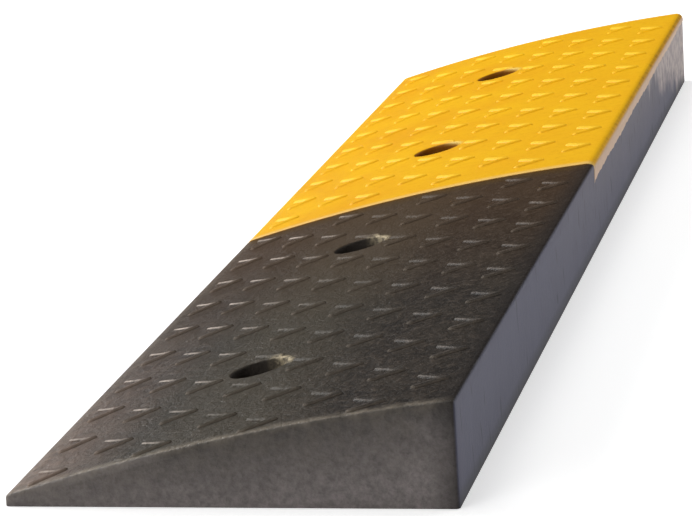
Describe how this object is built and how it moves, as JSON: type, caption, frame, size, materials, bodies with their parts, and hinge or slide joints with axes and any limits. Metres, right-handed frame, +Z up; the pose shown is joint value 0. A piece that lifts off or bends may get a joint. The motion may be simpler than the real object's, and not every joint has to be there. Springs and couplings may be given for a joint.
{
  "type": "kerb ramp",
  "caption": "Bolt-down rubber wedge ramp for a kerb or threshold, black at one end and yellow at the other, with a raised chevron tread and a row of recessed bolt holes.",
  "frame": {"origin": "middle of the bounding box, on the ground", "axes": "+Y along the ramp from its black end to its yellow end, +X up the slope from the thin toe to the tall back, +Z up"},
  "size_m": [0.21, 1, 0.0508],
  "materials": {
    "black_rubber": "moulded, matt, slightly dusty",
    "yellow_rubber": "moulded, satin",
    "zinc_steel": "zinc plated, dull"
  },
  "bodies": {
    "root": {"rubber_body": "black_rubber", "yellow_skin": "yellow_rubber", "bolt_washer_1": "zinc_steel", "bolt_washer_2": "zinc_steel", "bolt_washer_3": "zinc_steel", "bolt_washer_4": "zinc_steel"}
  },
  "joints": []
}
